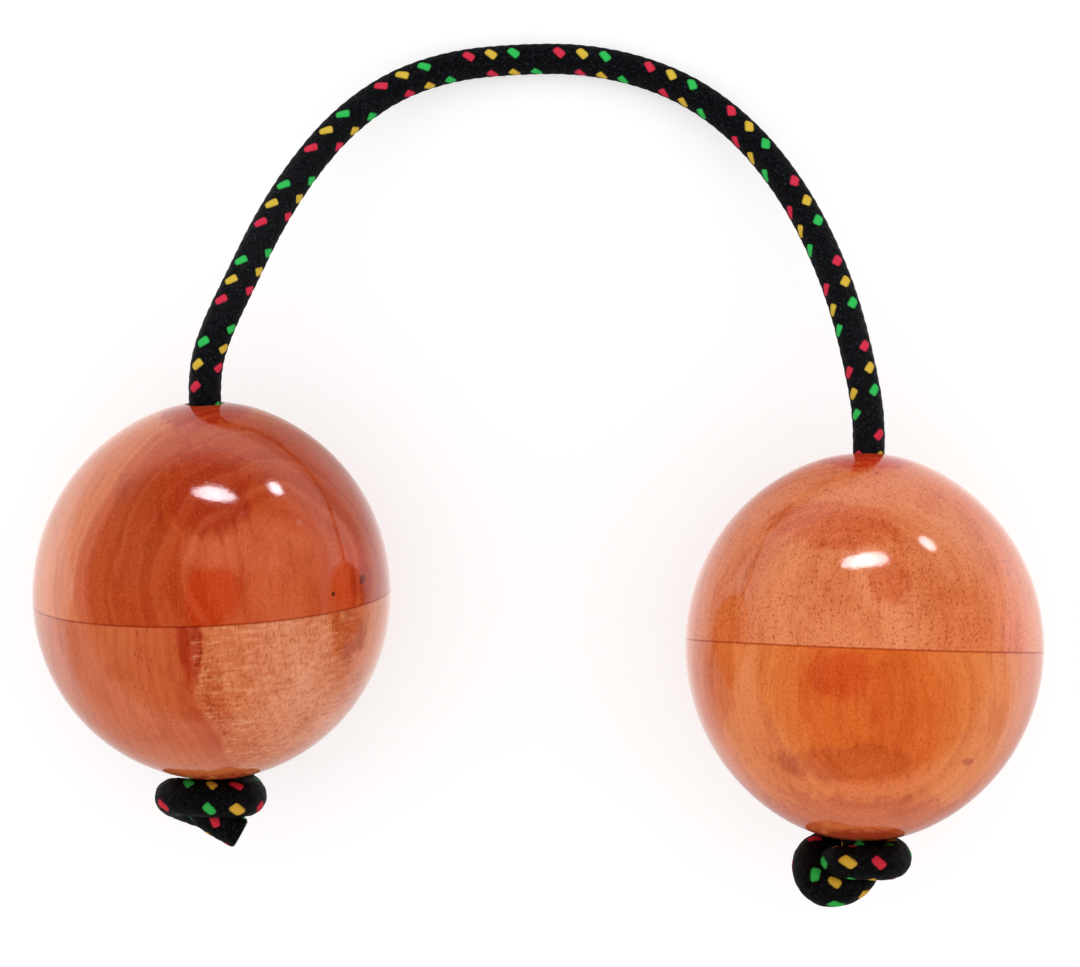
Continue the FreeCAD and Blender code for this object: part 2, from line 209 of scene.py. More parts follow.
class Tree:
    """A node tree to which every node is added in one way."""

    def __init__(self, owner):
        owner.use_nodes = True
        self.nodes, self.links = owner.node_tree.nodes, owner.node_tree.links
        self.nodes.clear()

    def add(self, kind, settings=None, inputs=None):
        node = self.nodes.new(kind)
        for name, value in (settings or {}).items():
            if name == "stops":
                self.set_stops(node.color_ramp, value)
            else:
                setattr(node, name, value)
        for key, value in (inputs or {}).items():
            self.feed(node.inputs[key], value)
        return node

    def feed(self, socket, value):
        if isinstance(value, Field):
            self.links.new(value.socket, socket)
        elif isinstance(value, bpy.types.NodeSocket):
            self.links.new(value, socket)
        else:
            socket.default_value = value

    @staticmethod
    def set_stops(ramp, stops):
        while len(ramp.elements) < len(stops):
            ramp.elements.new(1)
        for element, (place, shade) in zip(ramp.elements, stops):
            element.position = place
            element.color = (*shade, 1)

    def field(self, socket):
        return Field(self, socket)

    def split(self, vector):
        node = self.add("ShaderNodeSeparateXYZ", inputs={0: vector})
        return [self.field(node.outputs[axis]) for axis in range(3)]

    def stretch(self, vector, scale):
        return self.add("ShaderNodeVectorMath", {"operation": "MULTIPLY"},
                        {0: vector, 1: scale}).outputs[0]

    def noise(self, vector, scale=(1, 1, 1), detail=2.0, roughness=0.5, distortion=0.0):
        node = self.add("ShaderNodeTexNoise", {"noise_dimensions": "3D"},
                        {"Vector": self.stretch(vector, scale), "Scale": 1.0, "Detail": detail,
                         "Roughness": roughness, "Distortion": distortion})
        return self.field(node.outputs[0])

    def line_noise(self, place, scale, detail=2.0, roughness=0.5):
        node = self.add("ShaderNodeTexNoise", {"noise_dimensions": "1D"},
                        {"W": place, "Scale": scale, "Detail": detail, "Roughness": roughness})
        return self.field(node.outputs[0])

    def cells(self, vector, scale):
        node = self.add("ShaderNodeTexVoronoi", {"voronoi_dimensions": "3D", "feature": "F1"},
                        {"Vector": self.stretch(vector, scale), "Scale": 1.0, "Randomness": 1.0})
        return self.field(node.outputs["Distance"])

    def ramp(self, place, stops):
        node = self.add("ShaderNodeValToRGB", {"stops": stops}, {0: place})
        return node.outputs[0]

    def mix(self, share, first, second, way="MIX"):
        first, second = ((*c, 1) if isinstance(c, tuple) and len(c) == 3 else c
                         for c in (first, second))
        node = self.add("ShaderNodeMix", {"data_type": "RGBA", "blend_type": way},
                        {0: share, 6: first, 7: second})
        return node.outputs[2]

    def shade(self, share, colour_in, by):
        """The colour multiplied by another, by this share."""
        return self.mix(share, colour_in, by, "MULTIPLY")

    def bump(self, height, strength, distance):
        node = self.add("ShaderNodeBump", inputs={"Height": height, "Strength": strength,
                                                  "Distance": distance})
        return node.outputs[0]


class Field:
    """A number that changes over a surface. Arithmetic on it adds Math nodes."""

    def __init__(self, tree, socket):
        self.tree, self.socket = tree, socket

    def math(self, operation, *others, first=None):
        values = ([first] if first is not None else []) + [self] + list(others)
        node = self.tree.add("ShaderNodeMath", {"operation": operation},
                             dict(enumerate(values)))
        return Field(self.tree, node.outputs[0])

    def __add__(self, other):
        return self.math("ADD", other)

    __radd__ = __add__

    def __sub__(self, other):
        return self.math("SUBTRACT", other)

    def __rsub__(self, other):
        return self.math("SUBTRACT", first=other)

    def __mul__(self, other):
        return self.math("MULTIPLY", other)

    __rmul__ = __mul__

    def __truediv__(self, other):
        return self.math("DIVIDE", other)

    def floor(self):
        return self.math("FLOOR")

    def cos(self):
        return self.math("COSINE")

    def root(self):
        return self.math("SQRT")

    def size(self):
        """The value without its sign."""
        return (self * self).root()

    def turn_within(self, period):
        return self.math("FLOORED_MODULO", period)

    def blend(self, start, end, low=0.0, high=1.0):
        """Goes smoothly from low to high as the value goes from start to end."""
        node = self.tree.add("ShaderNodeMapRange", {"interpolation_type": "SMOOTHSTEP"},
                             {0: self, 1: start, 2: end, 3: low, 4: high})
        return Field(self.tree, node.outputs[0])


def new_material(name):
    material = bpy.data.materials.new(name)
    return material, Tree(material)


def finish_material(tree, inputs):
    shader = tree.add("ShaderNodeBsdfPrincipled", inputs=inputs)
    tree.add("ShaderNodeOutputMaterial", inputs={"Surface": shader.outputs[0]})


class Ball:
    """Where one ball lies. Its first seed lies straight under its centre."""

    def __init__(self, side):
        self.side, balls, seeds = side, sizes().balls, sizes().seeds
        lean, rise = getattr(balls, side + "_lean"), getattr(balls, side + "_rise")
        self.turn = Matrix.Rotation(lean, 3, "Z") @ Matrix.Rotation(rise - math.pi / 2, 3, "X")
        self.upper_height = balls.upper_height
        self.lower_height = getattr(balls, side + "_lower_height")
        self.hollow = min(balls.radius, self.upper_height, self.lower_height) - balls.wall
        low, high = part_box(side + "_seed_01")
        self.centre = (low + high) / 2
        self.centre.z += self.hollow - seeds.diameter / 2 - seeds.seat_gap

    def point(self, right, along, up):
        return self.centre + self.turn @ Vector((right, -up, along))

    def matrix(self, flipped=False):
        spin = Matrix.Rotation(math.pi if flipped else 0, 4, "X")
        return Matrix.Translation(self.centre) @ self.turn.to_4x4() @ spin


def turned_arcs(half):
    """Radii of the shoulder's arc, square at the seam, and of the pole's arc that it runs into."""
    balls = sizes().balls
    height, meet = getattr(balls, half + "_height"), getattr(balls, half + "_meet")
    beyond_axis = (height - balls.radius) / (1 + math.tan(meet) - 1 / math.cos(meet))
    return balls.radius + beyond_axis, height - beyond_axis * math.tan(meet)


def arc_on(mesh, corner, centre, sweep, steps):
    """Carries a profile on round a centre in the XZ plane, from +X towards +Z."""
    made = bmesh.ops.spin(mesh, geom=[corner], cent=centre, axis=(0, -1, 0), angle=sweep,
                          steps=steps, use_merge=False)
    return next(g for g in made["geom_last"] if isinstance(g, bmesh.types.BMVert))


def line_on(mesh, corner, right, up):
    """Carries a profile straight on to a point of the XZ plane."""
    corner = bmesh.ops.extrude_vert_indiv(mesh, verts=[corner])["verts"][0]
    corner.co = (right, 0, up)
    return corner


def shell_profile(mesh, half, hollow, has_spigot):
    """Half section of a shell, pole up: outside, mouth of the bore, bore, hollow and lapped seam."""
    balls = sizes().balls
    wide, bore, rounding, bevel = balls.radius, balls.bore_radius, balls.bore_round, balls.seam_bevel
    height, meet = getattr(balls, half + "_height"), getattr(balls, half + "_meet")
    shoulder, pole = turned_arcs(half)
    spigot = hollow + balls.spigot_wall
    pole_centre = Vector((0, 0, height - pole))
    start = bevel / shoulder
    mouth_centre = Vector((bore + rounding, 0, pole_centre.z
                           + math.sqrt((pole - rounding) ** 2 - (bore + rounding) ** 2)))
    mouth = math.atan2(mouth_centre.z - pole_centre.z, mouth_centre.x)
    hollow_top = math.acos(bore / hollow)

    corner = mesh.verts.new((wide - bevel, 0, 0))
    corner = line_on(mesh, corner, wide - shoulder * (1 - math.cos(start)), shoulder * math.sin(start))
    corner = arc_on(mesh, corner, (wide - shoulder, 0, 0), meet - start, 44)
    corner = arc_on(mesh, corner, pole_centre, mouth - meet, 14)
    corner = arc_on(mesh, corner, mouth_centre, math.pi - mouth, 8)
    corner = line_on(mesh, corner, bore, hollow * math.sin(hollow_top))
    if has_spigot:
        corner = arc_on(mesh, corner, (0, 0, 0), -hollow_top, 28)
        corner = line_on(mesh, corner, hollow, -balls.lap_depth)
        corner = line_on(mesh, corner, spigot, -balls.lap_depth)
        corner = line_on(mesh, corner, spigot, 0)
    else:
        floor = balls.lap_depth + balls.lap_gap
        corner = arc_on(mesh, corner, (0, 0, 0), math.asin(floor / hollow) - hollow_top, 28)
        corner = line_on(mesh, corner, spigot + balls.lap_gap, floor)
        corner = line_on(mesh, corner, spigot + balls.lap_gap, 0)
    line_on(mesh, corner, wide - bevel, 0)


def close_and_smooth(mesh, sharp_from=math.radians(30)):
    """Merges doubles, turns the faces outwards and keeps only the true edges sharp."""
    bmesh.ops.remove_doubles(mesh, verts=mesh.verts, dist=SAME_PLACE)
    bmesh.ops.recalc_face_normals(mesh, faces=mesh.faces)
    for face in mesh.faces:
        face.smooth = True
    for edge in mesh.edges:
        edge.smooth = edge.calc_face_angle(0) < sharp_from


def add_piece(name, mesh, material, slot, *nodes):
    """Makes an object of a finished mesh, in the place of its nodes of the frame."""
    data = bpy.data.meshes.new(name)
    mesh.to_mesh(data)
    mesh.free()
    data.materials.append(material)
    piece = bpy.data.objects.new(name, data)
    bpy.context.scene.collection.objects.link(piece)
    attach(piece, "root")
    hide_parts(*nodes)
    return piece


def half_shell(ball, name, has_spigot, material):
    """One shell turned from its profile. The two upper shells share their sizes."""
    mesh = bmesh.new()
    shell_profile(mesh, "upper" if has_spigot else name, ball.hollow, has_spigot)
    bmesh.ops.spin(mesh, geom=mesh.verts[:] + mesh.edges[:], cent=(0, 0, 0), axis=(0, 0, 1),
                   angle=2 * math.pi, steps=sizes().balls.steps_round, use_merge=True)
    close_and_smooth(mesh)
    bmesh.ops.transform(mesh, matrix=ball.matrix(flipped=not has_spigot), verts=mesh.verts)
    node = name + "_shell"
    return add_piece("turned_" + node, mesh, material, "varnished_wood", node)


class Blank:
    """The block of wood that one shell was turned from.

    The growth rings lie square to rings, in the ball's right, along and up. Tones are pairs of a
    place along it, in ball radii, and a colour. Marks are soft spots in the wood's colour: right,
    along, half width and half length in millimetres, strength and colour. Most run through the wood;
    some are painted dark reflections of the cord and the studio, and painted shade next to the knots.
    Squares are marks with corners. The rest are shares by which a kind of figure shows.
    """

    def __init__(self, rings, tones, marks, bands, streaks, pores, dust, seed, squares=(), curl=0.0,
                 curl_span=(-1, 1)):
        self.rings, self.tones, self.marks, self.squares = rings, tones, marks, squares
        self.bands, self.streaks, self.pores, self.dust = bands, streaks, pores, dust
        self.curl, self.curl_span, self.seed = curl, curl_span, seed

    def axes(self):
        """Turns the ball's own axes to the blank's: across its rings, beside them and along its fibres."""
        right, along, up = self.rings
        rings = Vector((right, -up, along)).normalized()
        fibre = (Vector((0, 0, 1)) - rings * rings.z).normalized()
        return Matrix((rings, fibre.cross(rings), fibre)).to_euler()


BLANKS = {
    "left_upper": Blank(
        (0.49, 0.17, 0.85),
        [(-1, (240, 170, 138)), (-0.5, (228, 140, 96)), (-0.1, (220, 122, 68)), (0.40, (216, 116, 66)),
         (0.46, (202, 92, 50)), (0.58, (188, 74, 33)), (0.85, (185, 69, 27)), (1, (202, 88, 48))],
        # The first mark, over the pole, is a painted dark reflection of the cord; the fourth, under the
        # highlights, a painted dark reflection of the studio
        [(0, 30, 7.5, 3, 0.9, (184, 46, 18)), (-8, 13, 4, 8, 0.6, (182, 74, 38)),
         (7, 11, 9, 4, 0.7, (210, 100, 64)), (2.5, 18.5, 6, 6, 0.85, (176, 56, 22)),
         (22.2, 5, 2.4, 5, 0.7, (202, 68, 24)),
         (24, 3.8, 1.5, 2.6, 0.5, (170, 44, 18)), (24, 3.8, 0.4, 0.8, 0.85, (104, 22, 14)),
         (20.1, 2.7, 0.28, 0.34, 0.9, (60, 20, 14))],
        # The square is a painted dark reflection of the studio, above the seam
        squares=[(3.2, 4.2, 3.7, 4.4, 0.9, (194, 60, 14))],
        bands=0.35, streaks=0.40, pores=0.35, dust=0.35, seed=3),
    "left_lower": Blank(
        (0.98, 0.02, 0.18),
        [(-1, (206, 108, 66)), (-0.1, (204, 102, 60)), (0.1, (198, 92, 50)), (0.22, (192, 84, 44)),
         (0.25, (208, 108, 62)), (0.45, (217, 127, 84)), (0.7, (227, 147, 110)), (0.84, (212, 116, 68)),
         (1, (220, 132, 86))],
        [(0, -2.5, 1.7, 7, 0.9, (172, 50, 18)), (21.8, -3.5, 2, 4, 0.7, (184, 76, 36)),
         (2.5, -12, 2, 6, 0.5, (190, 82, 42)), (0, -24, 15, 4, 0.5, (212, 114, 62)),
         # The last mark, round the pole, is painted shade and dark reflection next to the knot
         (0, -29, 9, 3, 0.7, (158, 50, 22))],
        bands=0.25, streaks=0.40, pores=0.6, dust=0.25, curl=0.5, curl_span=(0.22, 0.95), seed=12),
    "right_upper": Blank(
        (-0.30, 0.12, 0.95),
        [(-1, (254, 206, 188)), (-0.35, (254, 196, 170)), (-0.1, (246, 158, 116)), (0.1, (238, 134, 86)),
         (0.44, (232, 117, 62)), (0.7, (232, 131, 80)), (0.85, (224, 122, 72)), (0.93, (234, 142, 94)),
         (1.05, (230, 134, 86))],
        [(-7, 18, 9, 3.5, 0.6, (214, 90, 42)), (0, 10, 3, 4, 0.6, (210, 88, 40)),
         (10, 15, 6, 5, 0.5, (232, 142, 94)), (-22.7, 2.5, 2, 7, 0.7, (222, 110, 46)),
         # The last mark, over the pole, is a painted dark reflection of the cord
         (0, 30, 8, 3.6, 0.95, (212, 54, 18))],
        bands=0.30, streaks=0.50, pores=0.30, dust=0.9, seed=24),
    "right_lower": Blank(
        (-0.09, -0.28, 0.955),
        [(-1, (250, 196, 172)), (-0.3, (248, 184, 156)), (0.2, (234, 136, 92)), (0.5, (222, 114, 66)),
         (0.7, (234, 137, 78)), (0.86, (229, 127, 63)), (0.95, (220, 102, 38)), (1.05, (222, 106, 42))],
        [(-6, -4, 4.5, 3.5, 0.65, (210, 74, 26)), (-0.5, -7, 1.5, 5, 0.5, (208, 82, 28)),
         (-23, -6, 2.2, 9, 0.7, (218, 104, 40)), (-4, -17, 9, 2.8, 0.7, (198, 86, 38)),
         # The mark 30 mm towards the knot, round the pole, is painted shade and dark reflection next to
         # the knot
         (0, -25.5, 15, 4, 0.6, (196, 80, 44)), (0, -30, 9, 2.6, 0.8, (160, 48, 24)),
         (13.5, -16.3, 1.1, 0.6, 0.7, (176, 76, 46))],
        bands=0.35, streaks=0.40, pores=0.30, dust=0.5, seed=37),
}


# Distance from a ball's centre to its tree's in millimetres, and how much the finish brightens
PITH = 260
FINISH_LIFT = 1.04


class Grain:
    """The places in one blank that its figure depends on, and its widest patterns."""

    def __init__(self, tree, ball, blank):
        own = tree.add("ShaderNodeMapping", {"vector_type": "TEXTURE"}, {
            "Vector": tree.add("ShaderNodeTexCoord").outputs["Object"], "Location": ball.centre,
            "Rotation": ball.turn.to_euler(), "Scale": (MM, MM, MM)}).outputs[0]
        turned = tree.add("ShaderNodeMapping", {"vector_type": "POINT"},
                          {"Vector": own, "Rotation": blank.axes()}).outputs[0]
        shift = (blank.seed * 37, blank.seed * 17, blank.seed * 5)
        moved = tree.add("ShaderNodeVectorMath", {"operation": "ADD"}, {0: turned, 1: shift}).outputs[0]
        depth, beside, _ = tree.split(turned)
        sway = tree.noise(moved, (0.07, 0.07, 0.04), detail=2) - 0.5
        self.own, self.moved = own, moved
        self.right, _, self.along = tree.split(own)
        self.ring = ((depth + PITH) * (depth + PITH) + beside * beside).root() - PITH + sway * 5
        self.place = self.ring / (sizes().balls.radius / MM)
        self.cloud = tree.noise(moved, (0.16, 0.16, 0.12), detail=3, roughness=0.6)
        self.streak = tree.noise(moved, (0.9, 0.9, 0.05), detail=3, roughness=0.65)


def grown_wood(tree, grain, blank):
    """Tones across the rings, marks, bands, streaks and clouds."""
    stops = [(at * 0.4 + 0.5, screen_colour(*shade)) for at, shade in blank.tones]
    wood = tree.ramp(grain.place * 0.4 + 0.5, stops)
    fray = (grain.cloud - 0.5) * 0.9 + (grain.streak - 0.5) * 0.9
    for mark in (*blank.marks, *blank.squares):
        mark_right, mark_along, half_width, half_length, strength, shade = mark
        off = (grain.right - mark_right) / half_width
        away = (grain.along - mark_along) / half_length
        off, away = off * off, away * away
        far = (off * off + away * away).root().root() if mark in blank.squares else (off + away).root()
        wood = tree.mix((far + fray).blend(1.25, 0.75) * strength, wood, screen_colour(*shade))
    bands = tree.line_noise(grain.ring + blank.seed * 7, 0.8, detail=2, roughness=0.5)
    wood = tree.shade(bands.blend(0.60, 0.30) * blank.bands, wood, (0.78, 0.60, 0.50))
    wood = tree.mix(bands.blend(0.45, 0.85) * blank.bands * 0.3, wood, screen_colour(232, 150, 108))
    wood = tree.shade(grain.streak.blend(0.52, 0.26) * blank.streaks, wood, (0.74, 0.54, 0.42))
    return tree.shade(grain.cloud.blend(0.54, 0.30) * 0.6, wood, (0.84, 0.66, 0.54))


def curled_wood(tree, grain, blank, wood):
    """Ripples across the fibres and beads between them, within a span of the rings."""
    low, high = blank.curl_span
    inside = grain.place.blend(low, low + 0.03) * grain.place.blend(high, high - 0.1)
    ripple = tree.noise(grain.moved, (0.4, 0.4, 1.7), detail=2, roughness=0.5, distortion=0.3)
    beads = tree.noise(grain.moved, (2.2, 2.2, 1.1), detail=2, roughness=0.6)
    share = inside * blank.curl
    # The ripples are the curly figure, its shimmer painted in as light and dark bands; the beads are the
    # wood's own dashes
    wood = tree.mix(ripple.blend(0.48, 0.80) * share, wood, screen_colour(238, 168, 126))
    wood = tree.shade(ripple.blend(0.50, 0.30) * share, wood, (0.84, 0.66, 0.52))
    wood = tree.shade(beads.blend(0.50, 0.32) * share, wood, (0.62, 0.42, 0.32))
    return tree.mix(beads.blend(0.56, 0.74) * share * 0.6, wood, screen_colour(240, 178, 138))


def varnished_wood(ball, name, blank):
    """Stained hardwood under gloss varnish, with a grain that runs right through the blank."""
    material, tree = new_material("varnished_wood_" + name)
    grain = Grain(tree, ball, blank)
    wood = grown_wood(tree, grain, blank)
    if blank.curl:
        wood = curled_wood(tree, grain, blank, wood)

    patch = tree.noise(grain.moved, (0.22, 0.22, 0.12), detail=1)
    vessel = tree.cells(grain.moved, (1.9, 1.9, 0.34))
    pore = vessel.blend(0.25, 0.14) * patch.blend(0.38, 0.58, 0.10, 1.0)
    dust = tree.noise(grain.moved, (2.8, 2.8, 2.4), detail=2, roughness=0.6)
    wood = tree.shade(pore * blank.pores, wood, (0.46, 0.28, 0.20))
    wood = tree.shade(dust.blend(0.46, 0.32) * blank.dust, wood, (0.64, 0.44, 0.34))
    wood = tree.mix(dust.blend(0.56, 0.72) * blank.dust * 0.35, wood, screen_colour(240, 160, 112))
    wood = tree.shade(1.0, wood, (FINISH_LIFT,) * 3)
    wood = tree.shade(grain.along.size().blend(0.22, 0.08), wood, (0.72, 0.50, 0.40))

    skin = (tree.noise(grain.own, (0.5, 0.5, 0.5), detail=3)
            + tree.noise(grain.own, (1.9, 1.9, 1.9)) * 0.35 + dust * 0.2 - pore * 0.3)
    finish_material(tree, {
        "Base Color": wood, "Roughness": sizes().balls.roughness, "Specular IOR Level": 0.35,
        "Normal": tree.bump(skin, 0.5, 0.03 * MM)})
    return material


def smooth_line(corners):
    """Points of one smooth spline that has these corners as its control points."""
    curve = bpy.data.curves.new("route", "CURVE")
    curve.dimensions = "3D"
    curve.resolution_u = 32
    spline = curve.splines.new("NURBS")
    spline.points.add(len(corners) - 1)
    for point, corner in zip(spline.points, corners):
        point.co = (*corner, 1)
    spline.order_u = 3
    spline.use_endpoint_u = True
    holder = bpy.data.objects.new("route", curve)
    bpy.context.scene.collection.objects.link(holder)
    mesh = bpy.data.meshes.new_from_object(holder)
    points = [vertex.co.copy() for vertex in mesh.vertices]
    bpy.data.objects.remove(holder)
    bpy.data.curves.remove(curve)
    bpy.data.meshes.remove(mesh)
    return points


def path_length(points):
    return sum((b - a).length for a, b in zip(points, points[1:]))


def evenly(points, step):
    """The same line in steps of one length, with that length."""
    count = round(path_length(points) / step)
    step = path_length(points) / count
    even, walked, wanted = [points[0]], 0.0, step
    for a, b in zip(points, points[1:]):
        run = (b - a).length
        while wanted <= walked + run and len(even) < count:
            even.append(a.lerp(b, (wanted - walked) / run))
            wanted += step
        walked += run
    even.append(points[-1])
    return even, step


def carried_frames(points, known, side):
    """Each point with its direction and two side ways, carried without twist from the known one."""
    count = len(points)
    ahead = [(points[min(i + 1, count - 1)] - points[max(i - 1, 0)]).normalized() for i in range(count)]
    sides = [None] * count
    for order in (range(known, count), range(known, -1, -1)):
        carried = Vector(side)
        for i in order:
            carried = (carried - ahead[i] * carried.dot(ahead[i])).normalized()
            sides[i] = carried
    return [(point, a, s, a.cross(s)) for point, a, s in zip(points, ahead, sides)]


# The braid: carriers each way round, threads in each, and how far a strand's waves and its own
# roundness show
CARRIERS = 8
THREADS = 5
WAVE_SHARE = 0.55
ROUND_SHARE = 0.45

# How narrow and how short a tracer's flecks are, and the painted warm shade on the knots, with where it
# sets in
FLECK_NARROW = 3.5
FLECK_SHORT = 1.8
KNOT_SHADE_FROM, KNOT_SHADE_TO = -0.018, -0.024
KNOT_SHADE_TINT = (0.82, 0.68, 0.58)

# Where a bent braid is drawn out: from so far beside the crown, over so long a run. It is turned
# outwards over the twist's run. A cut end is rounded over the last one
STRETCH_FROM = 15 * MM
STRETCH_RUN = 106 * MM
TWIST_RUN = 100 * MM
CUT_ROUND = 0.5 * MM


def braid_height(turns, round_share):
    """Height of a braid of strands that pass over two and under two, from about -1 to 1."""
    one_way, other_way = CARRIERS * (turns - round_share), CARRIERS * (turns + round_share)
    one, other = math.floor(one_way + 0.5), math.floor(other_way + 0.5)
    heights = [
        WAVE_SHARE * math.cos(math.pi / 2 * (other_way + one - 0.5))
        + ROUND_SHARE * (1 - 4 * (one_way - one) ** 2),
        WAVE_SHARE * math.cos(math.pi / 2 * (one_way + other - 2.5))
        + ROUND_SHARE * (1 - 4 * (other_way - other) ** 2)]
    return max(heights)


def braided_tube(points, diameter, known, turns_there, roll, backwards=False, cut=False, swell=0.0,
                 step=0.24 * MM, around=64):
    """A tube along a line with the braid's relief, and the braid's turns in its UV map.

    At the known share of its length the braid has the stated phase on the side turned up.
    """
    cord = sizes().cord
    even, step = evenly(points, step)
    rings = len(even) - 1
    known = round(known * rings)
    frames = carried_frames(even, known, (0, 0, 1))
    way = -1 if backwards else 1
    lead = cord.knot_lead if cut else cord.lead
    turns_at, rolls_at = [], []
    for ring in range(rings + 1):
        run = (ring - known) * step
        ease = 0 if cut else min(abs(run) / TWIST_RUN, 1)
        bent = 0 if cut else min(max(abs(run) - STRETCH_FROM, 0) / STRETCH_RUN, 1)
        stretch = -cord.left_stretch if run < 0 else cord.right_stretch
        drawn = stretch * math.sin(bent * math.pi) ** 2
        turns_at.append(turns_there + way * (run - drawn) / lead)
        rolls_at.append(roll + cord.twist * ease / (2 * math.pi))
    mesh = bmesh.new()
    bmesh.ops.create_grid(mesh, x_segments=rings, y_segments=around, size=0.5)
    layer = mesh.loops.layers.uv.new("braid")
    for face in mesh.faces:
        for loop in face.loops:
            ring, turned = round((loop.vert.co.x + 0.5) * rings), loop.vert.co.y + 0.5
            loop[layer].uv = (turns_at[ring], way * turned + rolls_at[ring])
    for vertex in mesh.verts:
        ring, turned = round((vertex.co.x + 0.5) * rings), vertex.co.y + 0.5
        centre, _, side, other = frames[ring]
        height = braid_height(turns_at[ring], way * turned + rolls_at[ring])
        full = 1 + swell * math.sin(math.pi * min(ring / rings / 0.85, 1))
        radius = diameter / 2 * full + cord.relief * (height - 0.9)
        left = (rings - ring) * step / CUT_ROUND
        if cut and left < 1:
            radius *= math.sqrt(1 - (1 - left) ** 2) * 0.15 + 0.85
        swing = 2 * math.pi * turned
        vertex.co = centre + (side * math.cos(swing) + other * math.sin(swing)) * radius
    bmesh.ops.remove_doubles(mesh, verts=mesh.verts, dist=SAME_PLACE)
    ends = [edge for edge in mesh.edges if edge.is_boundary]
    for face in bmesh.ops.holes_fill(mesh, edges=ends, sides=0)["faces"]:
        for loop in face.loops:
            loop[layer].uv = (0.75, 0)
    bmesh.ops.recalc_face_normals(mesh, faces=mesh.faces)
    for face in mesh.faces:
        face.smooth = len(face.verts) == 4
    return mesh, even


def braided_cord():
    """Round black braid with red, yellow and green tracer strands that all run one way."""
    cord = sizes().cord
    material, tree = new_material("braided_cord")
    uv = tree.add("ShaderNodeUVMap", {"uv_map": "braid"}).outputs[0]
    turns, share, _ = tree.split(uv)
    one_way, other_way = (turns - share) * CARRIERS, (turns + share) * CARRIERS
    one, other = (one_way + 0.5).floor(), (other_way + 0.5).floor()
    off_one, off_other = one_way - one, other_way - other
    round_one, round_other = 1 - off_one * off_one * 4, 1 - off_other * off_other * 4
    wave_one = ((other_way + one - 0.5) * (math.pi / 2)).cos()
    wave_other = ((one_way + other - 2.5) * (math.pi / 2)).cos()
    lead_of_one = (wave_one - wave_other) * WAVE_SHARE + (round_one - round_other) * ROUND_SHARE
    on_top = lead_of_one.blend(-0.06, 0.06)

    colour_now = (*cord.black, 1)
    for first, yarn in ((0, cord.red), (2, cord.yellow), (4, cord.green)):
        across = (one_way - first + CARRIERS / 2).turn_within(CARRIERS) - CARRIERS / 2
        along = (other_way + one_way - across + 1.5).turn_within(4) - 2
        across, along = across * across * FLECK_NARROW, along * along * FLECK_SHORT
        far = across * across + along * along
        colour_now = tree.mix(far.blend(1.25, 0.85), colour_now, (*yarn, 1))
        # The flecks' edges get painted shade, where the strand turns down under its neighbours
        colour_now = tree.shade(far.blend(0.15, 0.9) * far.blend(1.25, 1.05) * 0.35, colour_now,
                                (0.35, 0.30, 0.30))
    # Painted shade on the sides of each strand, where it turns down between its neighbours
    roundness = on_top * round_one + (1 - on_top) * round_other
    colour_now = tree.shade(roundness.blend(0.55, 0.0) * 0.75, colour_now, (0.25, 0.25, 0.28))

    # Painted shade in the grooves between a strand's threads; the same threads make the bump
    off_middle = on_top * off_one + (1 - on_top) * off_other
    threads = (off_middle * (2 * math.pi * THREADS)).cos() * 0.5 + 0.5
    colour_now = tree.shade(threads.blend(0.5, 0.0) * 0.25, colour_now, (0.5, 0.5, 0.5))
    place = tree.add("ShaderNodeTexCoord").outputs["Object"]
    # Small bluish specks painted as the yarn's glints
    glint_specks = tree.noise(place, (2600, 2600, 2600), detail=2)
    colour_now = tree.mix(glint_specks.blend(0.52, 0.80) * 0.09, colour_now, (0.24, 0.28, 0.36))
    # The knots get a painted warm shade, from where the cord nears them
    _, ahead, _ = tree.split(place)
    colour_now = tree.shade(ahead.blend(KNOT_SHADE_FROM, KNOT_SHADE_TO), colour_now, KNOT_SHADE_TINT)
    fuzz = tree.noise(uv, (60, 400, 1), detail=2)
    finish_material(tree, {
        "Base Color": colour_now, "Roughness": fuzz.blend(0.2, 0.8, 0.5, 0.7), "Specular IOR Level": 0.06,
        "Normal": tree.bump(threads * 0.7 + fuzz * 0.6, 0.6, 0.06 * MM)})
    return material


def cord_corners(left, right):
    """The whole route: through the left ball, over the crown and through the right ball."""
    cord, ends = sizes().cord, []
    for ball in (left, right):
        inside = ball.point(0, cord.knot_entry - ball.lower_height, 0)
        near = ball.point(0, ball.upper_height + cord.exit_run - STRAIGHT_RUN, 0)
        outside = ball.point(0, ball.upper_height + cord.exit_run, 0)
        ends.append([inside, near, outside])
    return ends[0] + [Vector(corner) for corner in CORD_ROUTE] + ends[1][::-1]


def knot_corners(ball, corners):
    cord = sizes().cord
    pole = -ball.lower_height
    path = [ball.point(0, pole + cord.knot_entry, 0)]
    return path + [ball.point(x * cord.diameter, pole + y * cord.diameter, z * cord.diameter)
                   for x, y, z in corners]


def seed_material():
    """Hard, dull seed coat with fine furrows."""
    seeds = sizes().seeds
    material, tree = new_material("dried_seed")
    place = tree.add("ShaderNodeTexCoord").outputs["Object"]
    furrows = tree.noise(place, (900, 900, 2200), detail=3, roughness=0.6)
    blotch = tree.noise(place, (260, 260, 260), detail=2)
    skin = tree.mix(furrows.blend(0.35, 0.65), (*seeds.dark, 1), (*seeds.pale, 1))
    skin = tree.shade(blotch.blend(0.5, 0.3) * 0.6, skin, (0.55, 0.48, 0.42))
    finish_material(tree, {
        "Base Color": skin, "Roughness": furrows.blend(0.2, 0.8, 0.45, 0.75),
        "Normal": tree.bump(furrows, 0.5, 0.08 * MM)})
    return material


